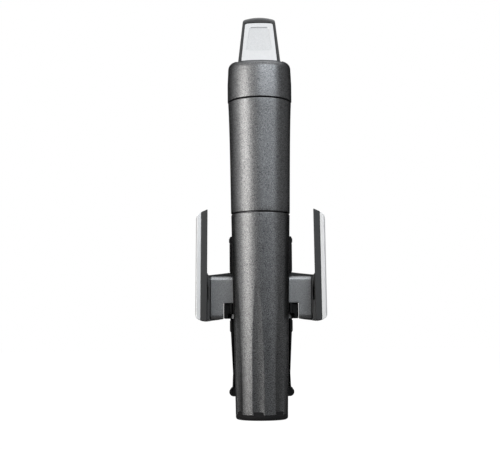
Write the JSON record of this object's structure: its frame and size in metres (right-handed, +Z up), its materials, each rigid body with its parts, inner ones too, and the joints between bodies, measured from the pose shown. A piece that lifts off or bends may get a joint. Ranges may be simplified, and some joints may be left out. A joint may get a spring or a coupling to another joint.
{
  "type": "wine preservation dispenser",
  "caption": "Hand-held wine dispenser with a fluted gas capsule cup, a thumb trigger, a hollow needle, a curved spout and a sprung bottle clamp that slides on a rail.",
  "frame": {"origin": "middle of the cup's foot, on the handle's axis", "axes": "+Z up along the handle, +Y towards the spout and the bottle, +X to the user's right hand side when the spout points away"},
  "size_m": [0.0702, 0.1103, 0.2152],
  "materials": {
    "graphite": "fine metallic powder coat",
    "black_plastic": "satin black",
    "dark_plastic": "dark grey, satin",
    "satin_silver": "satin silver",
    "bright_metal": "bright silver",
    "steel": "plain",
    "capsule_steel": "plated",
    "dark_aluminium": "dark anodised",
    "brass": "turned",
    "pale_plastic": "natural",
    "rubber": "soft"
  },
  "bodies": {
    "handle": {"grip_shell": "graphite", "head_shell": "graphite", "head_base": "black_plastic", "head_screws": "steel", "valve_block": "pale_plastic", "valve_seal": "rubber", "gas_tube": "steel", "flow_block": "pale_plastic", "spout": "black_plastic", "spout_collar": "bright_metal", "needle": "steel", "needle_hub": "black_plastic", "hub_seal": "rubber", "rail": "black_plastic", "rail_screws": "steel", "rail_end_stop": "black_plastic", "end_stop_screw": "steel", "regulator_body": "dark_aluminium", "regulator_cap": "dark_aluminium", "regulator_spring": "steel", "piercing_pin": "steel", "capsule_seal": "rubber", "trigger_pin": "steel", "trigger_spring": "steel", "valve_spring": "steel"},
    "regulator_piston": {"regulator_piston": "brass", "piston_seal": "rubber"},
    "valve_plunger": {"valve_plunger": "steel"},
    "trigger": {"trigger_lever": "dark_plastic", "trigger_plate": "satin_silver"},
    "gas_capsule": {"gas_capsule": "capsule_steel"},
    "capsule_cup": {"capsule_cup": "graphite", "cup_base_ring": "rubber", "cup_cushion": "rubber"},
    "clamp_carriage": {"clamp_carriage": "black_plastic", "needle_guide": "pale_plastic", "guide_foot_pad": "rubber", "neck_rest_pad": "rubber", "hinge_pin_left": "steel", "hinge_pin_right": "steel", "arm_spring_left": "steel", "arm_spring_right": "steel"},
    "arm_left": {"clamp_arm_left": "dark_plastic", "arm_plate_left": "satin_silver", "wing_cover_left": "bright_metal", "jaw_pad_left": "rubber", "wing_screws_left": "steel"},
    "arm_right": {"clamp_arm_right": "dark_plastic", "arm_plate_right": "satin_silver", "wing_cover_right": "bright_metal", "jaw_pad_right": "rubber", "wing_screws_right": "steel"}
  },
  "joints": [
    {"name": "clamp_slide", "type": "slide", "parent": "handle", "child": "clamp_carriage", "axis": [0, 0, 1], "range_m": [0, 0.0625]},
    {"name": "arm_left_swing", "type": "hinge", "parent": "clamp_carriage", "child": "arm_left", "pos_m": [-0.0147, 0.018, 0.069], "axis": [0, 0, 1], "range_deg": [0, 14], "stiffness_Nm_per_rad": 0.5, "springref_deg": -20.05},
    {"name": "arm_right_swing", "type": "hinge", "parent": "clamp_carriage", "child": "arm_right", "pos_m": [0.0147, 0.018, 0.069], "axis": [0, 0, -1], "range_deg": [0, 14], "stiffness_Nm_per_rad": 0.5, "springref_deg": -20.05},
    {"name": "trigger_press", "type": "hinge", "parent": "handle", "child": "trigger", "pos_m": [0, -0.0053, 0.1745], "axis": [-1, 0, 0], "range_deg": [0, 12], "stiffness_Nm_per_rad": 0.3, "springref_deg": -17.19},
    {"name": "plunger_push", "type": "slide", "parent": "handle", "child": "valve_plunger", "axis": [0, 1, 0], "range_m": [0, 0.0018], "deforming": ["valve_spring"]},
    {"name": "piston_breathe", "type": "slide", "parent": "handle", "child": "regulator_piston", "axis": [0, 0, 1], "range_m": [0, 0.0008], "stiffness_N_per_m": 3000, "springref_m": -0.002, "deforming": ["regulator_spring"]},
    {"name": "capsule_lower", "type": "slide", "parent": "handle", "child": "gas_capsule", "axis": [0, 0, -1], "range_m": [0, 0.008]},
    {"name": "cup_turn", "type": "hinge", "parent": "gas_capsule", "child": "capsule_cup", "pos_m": [0, 0, 0.05], "axis": [0, 0, 1], "range_deg": [0, 1440]}
  ],
  "couplings": [
    {"joint": "plunger_push", "follows": "trigger_press", "m_per_rad": 0.0084},
    {"joint": "cup_turn", "follows": "capsule_lower", "rad_per_m": 3141.5}
  ]
}
